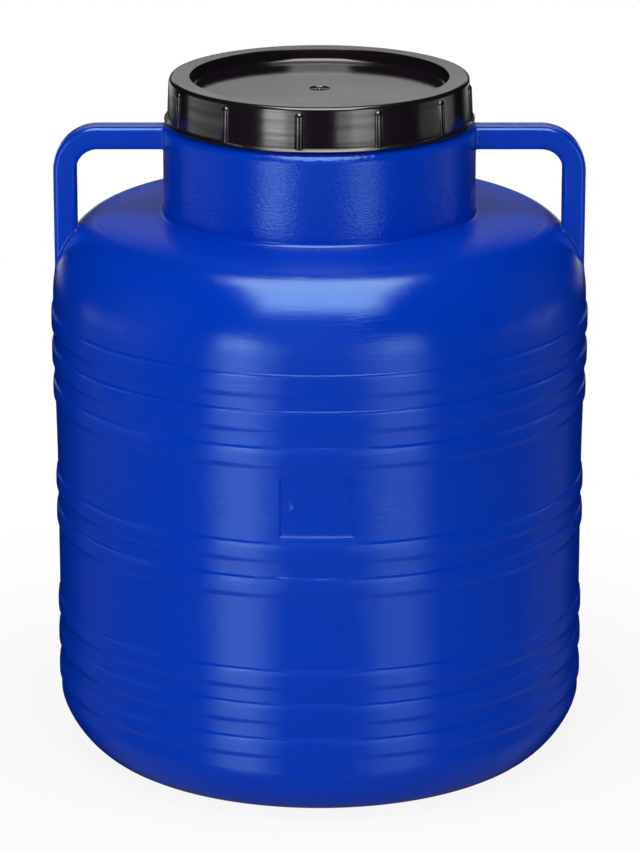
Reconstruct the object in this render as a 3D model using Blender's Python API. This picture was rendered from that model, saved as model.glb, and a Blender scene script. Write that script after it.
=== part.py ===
"""Wide-necked plastic barrel of about 40 litres, with a screw lid and its seal.

The barrel is one blow-moulded piece: ribbed wall, rounded shoulder, neck and two
carrying handles. The lid screws on from above and carries a soft ring that seals on
the neck's rim. Units are metres, +Z is up, the handles lie along X and the recessed
plate faces -Y. The origin is the centre of the base, on the floor.
"""

import math

import bmesh
import bpy
from mathutils import Matrix, Vector

# Facets of turned surfaces, arcs and corners
ROUND_SEGMENTS = 56
BASE_CORNER_STEPS = 8
SHOULDER_STEPS = 10
INNER_CORNER_STEPS = 5
INNER_SHOULDER_STEPS = 6
FILLET_STEPS = 3
EDGE_STEPS = 4
PLATE_STEPS = 4
HANDLE_CORNER_STEPS = 8
HANDLE_EDGE_STEPS = 2

# Points closer than this are one, faces that meet more sharply than this look creased
MERGE_DISTANCE = 0.000002
CREASE_ANGLE = math.radians(35)

# How far a cutter stands out of what it cuts
CUTTER_OVERSHOOT = 0.010

# Barrel wall
WALL_THICKNESS = 0.0030
LOWER_WALL_RADIUS = 0.1840
UPPER_WALL_RADIUS = 0.1854
TAPER_START_HEIGHT = 0.200
TAPER_END_HEIGHT = 0.300

# Raised bands round the wall: (height of the lowest, count) of each group of equal
# bands, each with a crisp upper edge and a soft lower one
BAND_HEIGHT = 0.0167
BAND_PITCH = 0.0246
BAND_RELIEF = 0.00135
BAND_LOWER_FLANK = 0.0030
BAND_UPPER_FLANK = 0.0011
BAND_GROUPS = ((0.0453, 3), (0.1588, 2), (0.2496, 3))

# Base: a flat foot ring, a raised middle and a wide rounded corner
FOOT_OUTER_RADIUS = 0.1554
FOOT_INNER_RADIUS = 0.1320
BASE_HOLLOW_RADIUS = 0.1250
BASE_HOLLOW_HEIGHT = 0.0040
CORNER_HEIGHT = 0.0371
CORNER_POWER = 1.43

# Shoulder: nearly flat beside the neck, falling away steeply at the wall
SHOULDER_START_HEIGHT = 0.3280
SHOULDER_TOP_HEIGHT = 0.3825
SHOULDER_POWER_OUT = 4.1
SHOULDER_POWER_UP = 1.6

# Neck
NECK_RADIUS = 0.1078
NECK_FILLET = 0.0035
NECK_EDGE_RADIUS = 0.0070
NECK_LEDGE_HEIGHT = 0.4463
COLLAR_RADIUS = 0.0976
COLLAR_INNER_RADIUS = 0.0943
RIM_HEIGHT = 0.4700
RIM_ROUNDING = 0.0009

# Handles: a rounded bar out of the neck, round a corner and down into the shoulder
HANDLE_OUTER_REACH = 0.1835
HANDLE_TOP_HEIGHT = 0.4423
HANDLE_BAR_WIDTH = 0.0158
HANDLE_BAR_DEPTH = 0.0195
HANDLE_EDGE_RADIUS = 0.0030
HANDLE_CORNER_RADIUS = 0.0230
HANDLE_FOOT_HEIGHT = 0.3200

# Swelling of a handle at its root, as (distance from the axis, scale of its section)
HANDLE_ROOT = ((0.1000, 1.22), (0.1074, 1.22), (0.1094, 1.06), (0.1118, 1.0))

# Recessed plate on the front
PLATE_WIDTH = 0.0490
PLATE_BOTTOM_HEIGHT = 0.2040
PLATE_TOP_HEIGHT = 0.2444
PLATE_DEPTH = 0.0015
PLATE_CENTRE_X = -0.0018

# Lid, outside
LID_HEIGHT_ABOVE_BASE = 0.4770
LID_BOTTOM_HEIGHT = 0.4473
LID_TOP_RADIUS = 0.1031
LID_SKIRT_RADIUS = 0.1042
LID_EDGE_RADIUS = 0.0018
FLANGE_RADIUS = 0.1069
FLANGE_SHOULDER_RADIUS = 0.1052
FLANGE_TOP_HEIGHT = 0.4524
SMALL_BEVEL = 0.0006

# Lid, recess, the flat panel at its bottom and the moulding gate's mark
RECESS_RADIUS = 0.0890
RECESS_FOOT_RADIUS = 0.0878
RECESS_FILLET = 0.0009
PANEL_HEIGHT = 0.4680
PANEL_THICKNESS = 0.0026
GATE_RADIUS = 0.0069
GATE_DEPTH = 0.0005

# Lid, underside
PLUG_RADIUS = 0.0918
PLUG_THICKNESS = 0.0024
PLUG_BOTTOM_HEIGHT = 0.4600
PLUG_BEVEL = 0.0009
CHANNEL_CEILING_HEIGHT = 0.4736
SKIRT_INNER_RADIUS = 0.1004
SKIRT_MOUTH_RADIUS = 0.1014

# Grip ribs on the skirt
RIB_COUNT = 12
RIB_RADIUS = 0.0018
RIB_PROUD = 0.0019
RIB_TOP_HEIGHT = 0.4735
RIB_BOTTOM_HEIGHT = 0.4490
RIB_PHASE = math.radians(-7.6)
RIB_SIDES = 10
RIB_TIP_STEPS = 2

# Seal ring, between the rim and the lid's channel
SEAL_INNER_RADIUS = 0.0932
SEAL_OUTER_RADIUS = 0.0997
SEAL_GAP = 0.0003
SEAL_EDGE = 0.0005

# Materials, each a linear colour and a roughness
BARREL_BLUE = ((0.004, 0.045, 0.430), 0.38)
LID_BLACK = ((0.012, 0.012, 0.013), 0.24)
SEAL_GREY = ((0.30, 0.30, 0.29), 0.70)


def clear_scene():
    """Remove every object of the open scene."""
    for item in list(bpy.data.objects):
        bpy.data.objects.remove(item, do_unlink=True)


def make_material(name, colour, roughness):
    """A plain plastic: one colour and one roughness."""
    material = bpy.data.materials.new(name)
    material.use_nodes = True
    shader = material.node_tree.nodes["Principled BSDF"]
    shader.inputs["Base Color"].default_value = (*colour, 1.0)
    shader.inputs["Roughness"].default_value = roughness
    shader.inputs["Metallic"].default_value = 0.0
    return material


def arc(centre, radius, start, end, steps):
    """Points on a circle in the (radius, height) plane, angles in degrees."""
    points = []
    for step in range(steps + 1):
        angle = math.radians(start + (end - start) * step / steps)
        points.append((centre[0] + radius * math.cos(angle), centre[1] + radius * math.sin(angle)))
    return points


def super_corner(inner, outer, power_out, power_up, steps):
    """A rounded corner from the point nearer the axis to the point at the wall.

    It leaves the inner point level and reaches the outer point upright, and higher
    powers make it fuller.
    """
    points = []
    for step in range(steps + 1):
        angle = math.pi / 2 * step / steps
        out = math.sin(angle) ** (2 / power_out)
        away = math.cos(angle) ** (2 / power_up)
        radius = inner[0] + (outer[0] - inner[0]) * out
        height = outer[1] + (inner[1] - outer[1]) * away
        points.append((radius, height))
    return points


def wall_radius(height):
    """Outer radius of the wall between the bands."""
    share = (height - TAPER_START_HEIGHT) / (TAPER_END_HEIGHT - TAPER_START_HEIGHT)
    share = min(max(share, 0.0), 1.0)
    return LOWER_WALL_RADIUS + (UPPER_WALL_RADIUS - LOWER_WALL_RADIUS) * share


def band_outline():
    """The wall's outline from the lowest band to the highest, going up."""
    points = []
    for first, count in BAND_GROUPS:
        for index in range(count):
            low = first + index * BAND_PITCH
            high = low + BAND_HEIGHT
            points.append((wall_radius(low), low))
            points.append((wall_radius(low) + BAND_RELIEF, low + BAND_LOWER_FLANK))
            points.append((wall_radius(high) + BAND_RELIEF, high - BAND_UPPER_FLANK))
            points.append((wall_radius(high), high))
    return points


def make_object(name, mesh_builder, material=None):
    """Turn a filled bmesh into an object with outward faces."""
    bmesh.ops.remove_doubles(mesh_builder, verts=mesh_builder.verts, dist=MERGE_DISTANCE)
    bmesh.ops.recalc_face_normals(mesh_builder, faces=mesh_builder.faces)
    mesh = bpy.data.meshes.new(name)
    mesh_builder.to_mesh(mesh)
    mesh_builder.free()
    item = bpy.data.objects.new(name, mesh)
    bpy.context.scene.collection.objects.link(item)
    if material:
        mesh.materials.append(material)
        mesh.shade_smooth()
        mesh.set_sharp_from_angle(angle=CREASE_ANGLE)
    return item


def revolve(name, outline, closed, material=None, sweep=math.tau, start=0.0, steps=ROUND_SEGMENTS):
    """Turn an outline of (radius, height) points about the Z axis.

    A closed outline makes a ring, an open one has both ends on the axis. A sweep of
    less than a full turn is closed by its two end faces.
    """
    builder = bmesh.new()
    full = sweep >= math.tau
    verts = [builder.verts.new((radius, 0.0, height)) for radius, height in outline]
    pairs = list(zip(verts, verts[1:]))
    if closed:
        pairs.append((verts[-1], verts[0]))
    edges = [builder.edges.new(pair) for pair in pairs]
    if not full:
        builder.faces.new(verts)
    spun = bmesh.ops.spin(
        builder,
        geom=verts + edges,
        cent=(0.0, 0.0, 0.0),
        axis=(0.0, 0.0, 1.0),
        angle=sweep,
        steps=steps,
    )
    if not full:
        last = [item for item in spun["geom_last"] if isinstance(item, bmesh.types.BMEdge)]
        bmesh.ops.edgeloop_fill(builder, edges=last)
    turn = Matrix.Rotation(start, 3, "Z")
    bmesh.ops.rotate(builder, verts=builder.verts, cent=(0.0, 0.0, 0.0), matrix=turn)
    return make_object(name, builder, material)


def as_guide(item):
    """Hide a cutter or a shape that is only merged into another."""
    item.hide_render = True
    item.display_type = "WIRE"
    return item


def combine(target, other, operation):
    """Add a Boolean of the other object to the target."""
    modifier = target.modifiers.new(operation.lower() + "_" + other.name, "BOOLEAN")
    modifier.operation = operation
    modifier.solver = "EXACT"
    modifier.object = as_guide(other)


def rounded_section(width, depth, radius):
    """A rounded rectangle round the origin, as (across, deep) pairs."""
    points = []
    for quarter in range(4):
        side_a = 1 if quarter in (0, 3) else -1
        side_b = 1 if quarter in (0, 1) else -1
        centre = (side_a * (width / 2 - radius), side_b * (depth / 2 - radius))
        points += arc(centre, radius, quarter * 90, quarter * 90 + 90, HANDLE_EDGE_STEPS)
    return points


def handle_stations():
    """Places along a handle's centre line, as (position, direction, scale).

    It starts inside the neck, swells where it leaves it, goes out and round the
    corner, and ends inside the shoulder.
    """
    arm_height = HANDLE_TOP_HEIGHT - HANDLE_BAR_WIDTH / 2
    bar_reach = HANDLE_OUTER_REACH - HANDLE_BAR_WIDTH / 2
    turn_x = bar_reach - HANDLE_CORNER_RADIUS
    turn_z = arm_height - HANDLE_CORNER_RADIUS
    outward = Vector((1.0, 0.0, 0.0))
    down = Vector((0.0, 0.0, -1.0))
    stations = [(Vector((reach, 0.0, arm_height)), outward, scale) for reach, scale in HANDLE_ROOT]
    for step in range(HANDLE_CORNER_STEPS + 1):
        angle = math.pi / 2 * (1 - step / HANDLE_CORNER_STEPS)
        spot = Vector((math.cos(angle), 0.0, math.sin(angle))) * HANDLE_CORNER_RADIUS
        heading = Vector((math.sin(angle), 0.0, -math.cos(angle)))
        stations.append((Vector((turn_x, 0.0, turn_z)) + spot, heading, 1.0))
    stations.append((Vector((bar_reach, 0.0, HANDLE_FOOT_HEIGHT)), down, 1.0))
    return stations


def sweep_handle(name, side):
    """Loft the handle's section along its centre line, on the side +1 or -1."""
    builder = bmesh.new()
    section = rounded_section(HANDLE_BAR_WIDTH, HANDLE_BAR_DEPTH, HANDLE_EDGE_RADIUS)
    rings = []
    for position, direction, scale in handle_stations():
        across = Vector((-direction.z, 0.0, direction.x))
        ring = []
        for offset, deep in section:
            spot = position + (across * offset + Vector((0.0, deep, 0.0))) * scale
            spot.x *= side
            ring.append(builder.verts.new(spot))
        rings.append(ring)
    for near, far in zip(rings, rings[1:]):
        for index in range(len(near)):
            after = (index + 1) % len(near)
            builder.faces.new((near[index], near[after], far[after], far[index]))
    builder.faces.new(rings[0])
    builder.faces.new(rings[-1])
    return make_object(name, builder)


def body_outline():
    """Outside of the barrel, from the middle of the base up to the middle of the rim."""
    ledge_edge = (NECK_RADIUS - NECK_EDGE_RADIUS, NECK_LEDGE_HEIGHT - NECK_EDGE_RADIUS)
    fillet_centre = (NECK_RADIUS + NECK_FILLET, SHOULDER_TOP_HEIGHT + NECK_FILLET)
    shoulder_foot = (UPPER_WALL_RADIUS, SHOULDER_START_HEIGHT)
    shoulder_top = (NECK_RADIUS + NECK_FILLET, SHOULDER_TOP_HEIGHT)
    points = [(0.0, BASE_HOLLOW_HEIGHT), (BASE_HOLLOW_RADIUS, BASE_HOLLOW_HEIGHT)]
    points += [(FOOT_INNER_RADIUS, 0.0)]
    foot = (FOOT_OUTER_RADIUS, 0.0)
    corner_top = (LOWER_WALL_RADIUS, CORNER_HEIGHT)
    points += super_corner(foot, corner_top, CORNER_POWER, CORNER_POWER, BASE_CORNER_STEPS)
    points += band_outline()
    powers = (SHOULDER_POWER_OUT, SHOULDER_POWER_UP)
    points += reversed(super_corner(shoulder_top, shoulder_foot, *powers, SHOULDER_STEPS))
    points += reversed(arc(fillet_centre, NECK_FILLET, 180, 270, FILLET_STEPS)[:-1])
    points += arc(ledge_edge, NECK_EDGE_RADIUS, 0, 90, EDGE_STEPS)
    points += [(COLLAR_RADIUS, NECK_LEDGE_HEIGHT)]
    points += [(COLLAR_RADIUS, RIM_HEIGHT - RIM_ROUNDING), (COLLAR_RADIUS - RIM_ROUNDING, RIM_HEIGHT)]
    points += [(0.0, RIM_HEIGHT)]
    return points


def cavity_outline():
    """Inside of the barrel, one wall thickness in, open past the rim."""
    floor = BASE_HOLLOW_HEIGHT + WALL_THICKNESS
    inner_neck = NECK_RADIUS - WALL_THICKNESS
    lower = LOWER_WALL_RADIUS - WALL_THICKNESS
    upper = UPPER_WALL_RADIUS - WALL_THICKNESS
    foot = (FOOT_OUTER_RADIUS - WALL_THICKNESS / 2, WALL_THICKNESS)
    corner_top = (lower, CORNER_HEIGHT)
    shoulder_foot = (upper, SHOULDER_START_HEIGHT)
    shoulder_top = (inner_neck, SHOULDER_TOP_HEIGHT - WALL_THICKNESS)
    throat = NECK_LEDGE_HEIGHT - WALL_THICKNESS
    points = [(0.0, floor), (BASE_HOLLOW_RADIUS, floor), (FOOT_INNER_RADIUS, WALL_THICKNESS)]
    points += super_corner(foot, corner_top, CORNER_POWER, CORNER_POWER, INNER_CORNER_STEPS)
    points += [(lower, TAPER_START_HEIGHT), (upper, TAPER_END_HEIGHT)]
    powers = (SHOULDER_POWER_OUT, SHOULDER_POWER_UP)
    points += reversed(super_corner(shoulder_top, shoulder_foot, *powers, INNER_SHOULDER_STEPS))
    points += [(inner_neck, throat - NECK_EDGE_RADIUS), (COLLAR_INNER_RADIUS, throat)]
    above = RIM_HEIGHT + CUTTER_OVERSHOOT
    points += [(COLLAR_INNER_RADIUS, above), (0.0, above)]
    return points


def build_barrel_body():
    """The moulded vessel with its bands, plate recess and handles."""
    blue = make_material("barrel_blue", *BARREL_BLUE)
    body = revolve("barrel_body", body_outline(), False, blue)
    for side, label in ((1, "right"), (-1, "left")):
        combine(body, sweep_handle(label + "_handle_guide", side), "UNION")
    combine(body, revolve("cavity_cutter", cavity_outline(), False), "DIFFERENCE")
    floor_radius = LOWER_WALL_RADIUS - PLATE_DEPTH
    outside = UPPER_WALL_RADIUS + CUTTER_OVERSHOOT
    section = [
        (floor_radius, PLATE_BOTTOM_HEIGHT),
        (outside, PLATE_BOTTOM_HEIGHT),
        (outside, PLATE_TOP_HEIGHT),
        (floor_radius, PLATE_TOP_HEIGHT),
    ]
    span = PLATE_WIDTH / LOWER_WALL_RADIUS
    middle = -math.pi / 2 + PLATE_CENTRE_X / LOWER_WALL_RADIUS
    plate = revolve("plate_cutter", section, True, None, span, middle - span / 2, PLATE_STEPS)
    combine(body, plate, "DIFFERENCE")
    return body


def lid_outline():
    """Section of the lid: out along its underside, down and up the skirt, and back in."""
    top = LID_HEIGHT_ABOVE_BASE
    underside = PANEL_HEIGHT - PANEL_THICKNESS
    plug_inner = PLUG_RADIUS - PLUG_THICKNESS
    points = [
        (0.0, underside),
        (plug_inner - PLUG_BEVEL, underside),
        (plug_inner, PLUG_BOTTOM_HEIGHT),
        (PLUG_RADIUS - PLUG_BEVEL, PLUG_BOTTOM_HEIGHT),
        (PLUG_RADIUS, PLUG_BOTTOM_HEIGHT + PLUG_BEVEL),
        (PLUG_RADIUS, CHANNEL_CEILING_HEIGHT),
        (SKIRT_INNER_RADIUS, CHANNEL_CEILING_HEIGHT),
        (SKIRT_MOUTH_RADIUS, LID_BOTTOM_HEIGHT),
        (FLANGE_RADIUS - SMALL_BEVEL, LID_BOTTOM_HEIGHT),
        (FLANGE_RADIUS, LID_BOTTOM_HEIGHT + SMALL_BEVEL),
        (FLANGE_SHOULDER_RADIUS, FLANGE_TOP_HEIGHT - SMALL_BEVEL),
        (LID_SKIRT_RADIUS, FLANGE_TOP_HEIGHT),
    ]
    edge = (LID_TOP_RADIUS - LID_EDGE_RADIUS, top - LID_EDGE_RADIUS)
    points += arc(edge, LID_EDGE_RADIUS, 0, 90, FILLET_STEPS)
    points += [(RECESS_RADIUS + SMALL_BEVEL, top), (RECESS_RADIUS, top - SMALL_BEVEL)]
    points += [(RECESS_FOOT_RADIUS, PANEL_HEIGHT + RECESS_FILLET)]
    points += [(RECESS_FOOT_RADIUS - RECESS_FILLET, PANEL_HEIGHT), (GATE_RADIUS, PANEL_HEIGHT)]
    gate_floor = PANEL_HEIGHT - GATE_DEPTH
    points += [(GATE_RADIUS - GATE_DEPTH, gate_floor), (0.0, gate_floor)]
    return points


def build_ribs():
    """Round-topped grip ribs, evenly spaced and leaning with the skirt's draft."""
    builder = bmesh.new()
    tall = RIB_TOP_HEIGHT - RIB_BOTTOM_HEIGHT - RIB_RADIUS
    middle_height = RIB_BOTTOM_HEIGHT + tall / 2
    skirt_rise = LID_HEIGHT_ABOVE_BASE - FLANGE_TOP_HEIGHT
    lean = math.atan((LID_SKIRT_RADIUS - LID_TOP_RADIUS) / skirt_rise)
    middle_share = (middle_height - FLANGE_TOP_HEIGHT) / skirt_rise
    skirt = LID_SKIRT_RADIUS + (LID_TOP_RADIUS - LID_SKIRT_RADIUS) * middle_share
    reach = skirt + RIB_PROUD - RIB_RADIUS
    for index in range(RIB_COUNT):
        angle = -math.pi / 2 + RIB_PHASE + index * math.tau / RIB_COUNT
        place = Matrix.Rotation(angle, 4, "Z") @ Matrix.Translation((reach, 0.0, middle_height))
        place = place @ Matrix.Rotation(-lean, 4, "Y")
        section = [(RIB_RADIUS, -tall / 2), (RIB_RADIUS, tall / 2)]
        tip = arc((0.0, tall / 2), RIB_RADIUS, 0, 90, RIB_TIP_STEPS)[1:]
        add_turned_rib(builder, section + tip, place)
    return make_object("grip_rib_guides", builder)


def add_turned_rib(builder, outline, place):
    """One rib: a small turned peg, closed at its foot and pointed at its top."""
    rings = []
    for radius, height in outline[:-1]:
        ring = []
        for side in range(RIB_SIDES):
            angle = math.tau * side / RIB_SIDES
            spot = Vector((radius * math.cos(angle), radius * math.sin(angle), height))
            ring.append(builder.verts.new(place @ spot))
        rings.append(ring)
    tip = builder.verts.new(place @ Vector((0.0, 0.0, outline[-1][1])))
    builder.faces.new(list(reversed(rings[0])))
    for low, high in zip(rings, rings[1:]):
        for side in range(RIB_SIDES):
            after = (side + 1) % RIB_SIDES
            builder.faces.new((low[side], low[after], high[after], high[side]))
    for side in range(RIB_SIDES):
        builder.faces.new((rings[-1][side], rings[-1][(side + 1) % RIB_SIDES], tip))


def build_screw_lid():
    """The black lid: ribbed skirt, flange, flat rim, sunk flat panel and plug ring."""
    black = make_material("lid_black", *LID_BLACK)
    lid = revolve("screw_lid", lid_outline(), False, black)
    combine(lid, build_ribs(), "UNION")
    return lid


def build_lid_gasket():
    """The soft ring that seals between the neck's rim and the lid."""
    grey = make_material("seal_grey", *SEAL_GREY)
    low = RIM_HEIGHT + SEAL_GAP
    high = CHANNEL_CEILING_HEIGHT - SEAL_GAP
    outline = [
        (SEAL_INNER_RADIUS, low),
        (SEAL_OUTER_RADIUS - SEAL_EDGE, low),
        (SEAL_OUTER_RADIUS, low + SEAL_EDGE),
        (SEAL_OUTER_RADIUS, high - SEAL_EDGE),
        (SEAL_OUTER_RADIUS - SEAL_EDGE, high),
        (SEAL_INNER_RADIUS, high),
    ]
    return revolve("lid_gasket", outline, True, grey)


def main():
    """Build the barrel, its lid and the seal, the last two on the screw axis."""
    clear_scene()
    build_barrel_body()
    screw_axis = bpy.data.objects.new("screw_axis", None)
    bpy.context.scene.collection.objects.link(screw_axis)
    for piece in (build_lid_gasket(), build_screw_lid()):
        piece.parent = screw_axis


if __name__ == "__main__":
    main()
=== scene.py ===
"""Looks of a wide-necked plastic barrel: moulded shell, screw lid, threads and seal.

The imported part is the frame. Every piece here rides on one of its bodies, stays inside
its box and is made in metres, +Z up, with the recessed plate facing -Y.
"""

import math

import bmesh
import bpy
import numpy as np
from mathutils import Matrix, Vector


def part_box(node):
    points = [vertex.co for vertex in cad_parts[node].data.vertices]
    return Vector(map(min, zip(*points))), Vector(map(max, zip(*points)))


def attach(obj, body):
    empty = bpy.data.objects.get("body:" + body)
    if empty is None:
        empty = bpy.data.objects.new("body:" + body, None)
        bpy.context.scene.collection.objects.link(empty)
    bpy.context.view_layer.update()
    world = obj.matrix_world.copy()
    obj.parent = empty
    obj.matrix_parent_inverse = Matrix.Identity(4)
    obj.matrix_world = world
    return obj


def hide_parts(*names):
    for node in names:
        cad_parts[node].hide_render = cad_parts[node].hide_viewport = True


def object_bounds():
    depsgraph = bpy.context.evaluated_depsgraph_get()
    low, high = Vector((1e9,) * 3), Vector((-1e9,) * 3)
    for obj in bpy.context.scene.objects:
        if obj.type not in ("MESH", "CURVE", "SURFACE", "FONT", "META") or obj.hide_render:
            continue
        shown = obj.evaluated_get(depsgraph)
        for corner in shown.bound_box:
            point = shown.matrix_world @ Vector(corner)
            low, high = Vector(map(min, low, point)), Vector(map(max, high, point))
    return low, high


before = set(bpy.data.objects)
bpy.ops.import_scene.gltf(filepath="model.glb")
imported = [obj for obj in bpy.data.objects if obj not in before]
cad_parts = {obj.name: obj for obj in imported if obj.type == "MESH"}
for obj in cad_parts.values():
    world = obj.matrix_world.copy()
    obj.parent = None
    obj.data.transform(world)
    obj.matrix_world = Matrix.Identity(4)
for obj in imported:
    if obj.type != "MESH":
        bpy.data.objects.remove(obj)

bl_info = {
    "name": "Plastic Barrel",
    "version": (1, 0, 0),
    "blender": (4, 5, 0),
    "location": "View3D > Sidebar > Barrel",
    "description": "Blow-moulded barrel with a ribbed screw lid, its threads and its seal",
    "category": "Object",
}

CAD_LOW, CAD_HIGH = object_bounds()
LID_LOW, LID_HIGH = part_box("screw_lid")
SEAL_LOW, SEAL_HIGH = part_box("lid_gasket")

# Columns and outline steps of the turned shells, and the crease angle of their shading
SHELL_COLUMNS = 164
LID_COLUMNS = 256
SEAL_COLUMNS = 192
COLUMN_CLEARANCE = 0.35
TURN_PER_POINT = 0.20
SHARPEST_FLAT = 60.0
SHORTEST_FLAT = 0.0015
SUPPORT = 0.0003
CREASE_ANGLE = math.radians(40)
WELD = 0.000001

# Wall: it widens a little between two heights
TAPER_START = 0.200
TAPER_END = 0.300
INNER_BAND_SHARE = 0.7

# Raised bands round the wall: bottom and top of each
BANDS = (
    (0.0452, 0.0614),
    (0.0695, 0.0864),
    (0.0939, 0.1106),
    (0.1594, 0.1758),
    (0.1842, 0.2004),
    (0.2500, 0.2666),
    (0.2748, 0.2917),
    (0.2990, 0.3165),
)

# Upper edge of a band: the step's share and height, then the flank's height and power.
# A band that ends above SHARP_BANDS has the heights that the settings give.
SHARP_BANDS = 0.280
SHARP_SHARE, SHARP_POWER = 0.5, 3
SOFT_EDGE = (0.25, 0.0020, 0.0065, 2)

# Base and its wide corner
BASE_HOLLOW_HEIGHT = 0.0040
BASE_HOLLOW_RADIUS = 0.1250
FOOT_INNER_RADIUS = 0.1320
FOOT_OUTER_RADIUS = 0.1554
CORNER_HEIGHT = 0.0371
CORNER_POWERS = (1.43, 1.43)

# Shoulder and neck
SHOULDER_START = 0.3280
SHOULDER_TOP = 0.3825
SHOULDER_POWERS = (4.1, 1.6)
LEAD_IN = (0.3168, 0.3400)
NECK_RADIUS = 0.1078
NECK_FILLET = 0.0028
NECK_LEDGE = 0.4463
COLLAR_RADIUS = 0.0976
COLLAR_BORE = 0.0943
RIM_HEIGHT = 0.4700

# The mould's parting ridge, and the columns beside it in steps of half a millimetre
RIDGE_HEIGHT = 0.00008
RIDGE_WIDTH = 0.0008
RIDGE_STEP = 0.0005 / 0.184
RIDGE_COLUMNS = (-4, -2, -1, 0, 1, 2, 4)

# Handles: reach, top, the centre line's corner, and how deep their ends go in
HANDLE_REACH = 0.1835
HANDLE_TOP = 0.4423
HANDLE_CORNER = 0.0230
HANDLE_EDGE = 0.0030
HANDLE_ROOT_START = 0.1062
HANDLE_ROOT_END = 0.1190
HANDLE_FOOT_START = 0.3900
FOOT_INSET = 0.0015
ROOT_FILLET = 0.0008
FILLET_CHANGE = 0.395
FILLET_CHANGE_SPAN = 0.020
PARTING_OFFSETS = (0.0050, 0.0032, 0.0016, 0.0008, 0.0004)

# Shell near the handles: how far from the bar it's cut finer and softened, the longest
# edge left there, and how deep below the outside a point may lie
REFINE_REACH = 0.0065
SOFTEN_REACH = 0.0080
LONGEST_EDGE = 0.0010
SKIN_DEPTH = 0.0010

# Plate recess, its two marks, and the steps across its sloping sides
PLATE_CENTRE_X = -0.0018
PLATE_LOW = 0.2040
PLATE_HIGH = 0.2444
PLATE_MARKS = ((-0.0195, 0.2246), (0.0162, 0.2246))
BEVEL_STEPS = np.linspace(-0.5, 0.5, 7)

# Lid: panel, foot of the sloping skirt, ribs and seal
PANEL_TOP = 0.4680
PANEL_THICKNESS = 0.0026
SKIRT_FOOT = (0.1043, 0.4501)
SKIRT_LEAN = math.atan(0.0012 / 0.0269)
RIB_TOP = 0.4734
RIB_PHASE = math.radians(-97.6)
SEAL_BORE = 0.0932
SEAL_GROOVE = 0.0003

# Screw thread: where it starts, and how far out its ridge sits on neck and lid
THREAD_START = 0.4516
NECK_THREAD_RADIUS = 0.0984
LID_THREAD_RADIUS = 0.1002

# Reflectors of the studio: from and to azimuth, in degrees from -Y towards +X, from and
# to elevation on the studio wall, seen from the wall's centre, brightness, and softness
# across and up
REFLECTORS = (
    (-42.0, -14.8, -5.6, -2.4, 5.0, 0.8, 0.9),
    (-40.5, -25.0, -2.4, 7.0, 7.4, 2.0, 1.2),
    (-41.0, -24.5, -8.5, -5.6, 3.2, 2.5, 1.2),
    (-42.0, -23.0, -12.6, -8.5, 1.6, 5.0, 1.5),
    (-44.0, -23.0, -17.5, -12.6, 2.8, 3.5, 1.5),
    (-44.0, -23.0, -48.0, -17.5, 1.9, 4.0, 1.5),
    (-49.0, -19.5, -19.2, -17.4, 0.7, 5.0, 0.8),
    (12.6, 29.0, -5.6, -2.4, 4.0, 0.8, 0.9),
    (29.0, 42.6, -5.6, -2.4, 3.0, 0.8, 0.9),
    (23.5, 40.5, -2.4, 7.0, 4.4, 2.0, 1.2),
    (23.0, 41.5, -8.5, -5.6, 1.8, 2.5, 1.2),
    (22.0, 41.0, -12.6, -8.5, 1.05, 5.0, 1.5),
    (23.0, 44.0, -17.5, -12.6, 1.45, 3.5, 1.5),
    (24.0, 45.0, -48.0, -17.5, 1.0, 4.0, 1.5),
    (19.0, 48.0, -19.2, -17.4, 0.5, 5.0, 0.8),
    (-116.0, -74.0, -8.0, -3.0, 0.85, 2.0, 1.2),
    (-124.0, -94.0, -48.0, -14.0, 0.08, 6.0, 3.0),
    (80.0, 120.0, -8.0, -3.0, 0.45, 2.0, 1.2),
    (101.0, 110.0, -8.0, -3.0, 0.7, 2.0, 1.2),
    (102.0, 134.0, -48.0, -14.0, 0.10, 6.0, 3.0),
)

# Pale patches behind, the same on both sides: azimuth over which each comes in, from
# and to elevation, softness up, and share of the setting
PATCHES_BEHIND = (
    (152.0, 164.0, 15.9, 18.4, 0.5, 1.0),
    (152.0, 164.0, 18.2, 21.0, 0.8, 0.5),
    (152.0, 164.0, 2.0, 28.0, 3.0, 0.11),
    (136.0, 162.0, -7.4, -3.0, 0.6, 0.9),
)

# Softbox overhead by tilt, its warm crown, and the faint light that low faces mirror
OVERHEAD_START = (36.0, 44.0)
OVERHEAD_END = (84.0, 102.0)
CROWN_START = (52.0, 62.0)
FLOOR_GLIMMER = (-200.0, -42.0, 8.0)
SURROUND_RADIUS = 3.0
SURROUND_CENTRE = 0.25
OVERHEAD_SPAN = SURROUND_RADIUS * 0.36
BRIGHTEST = 12.0
WHITE = (1.0, 1.0, 1.0, 1.0)
WARM = (1.0, 0.94, 0.82, 1.0)

# Lamps: place, azimuth, elevation, distance and width. Each has a setting for its light.
LAMPS = (
    ("overhead", 0.0, 80.0, 1.50, 1.20),
    ("front", -8.0, 12.0, 2.00, 1.60),
    ("left", -80.0, 10.0, 2.00, 1.20),
    ("right", 105.0, 10.0, 2.00, 1.20),
)
LAMP_AIM = (0.0, 0.0, 0.25)

# Floor, and the photograph's camera: place, degrees that it looks down, lens and shift
FLOOR_REACH = 40.0
CAMERA_PLACE = (0.0, -2.8447, 1.0900)
CAMERA_TILT = 16.91
CAMERA_LENS = 237.86
CAMERA_SHIFT = 0.0008


# ---------------------------------------------------------------- outlines


def ramp(value):
    """Smooth step from 0 to 1 as the value, a number or an array, goes from 0 to 1."""
    value = np.clip(value, 0.0, 1.0)
    return value * value * (3.0 - 2.0 * value)


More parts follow.
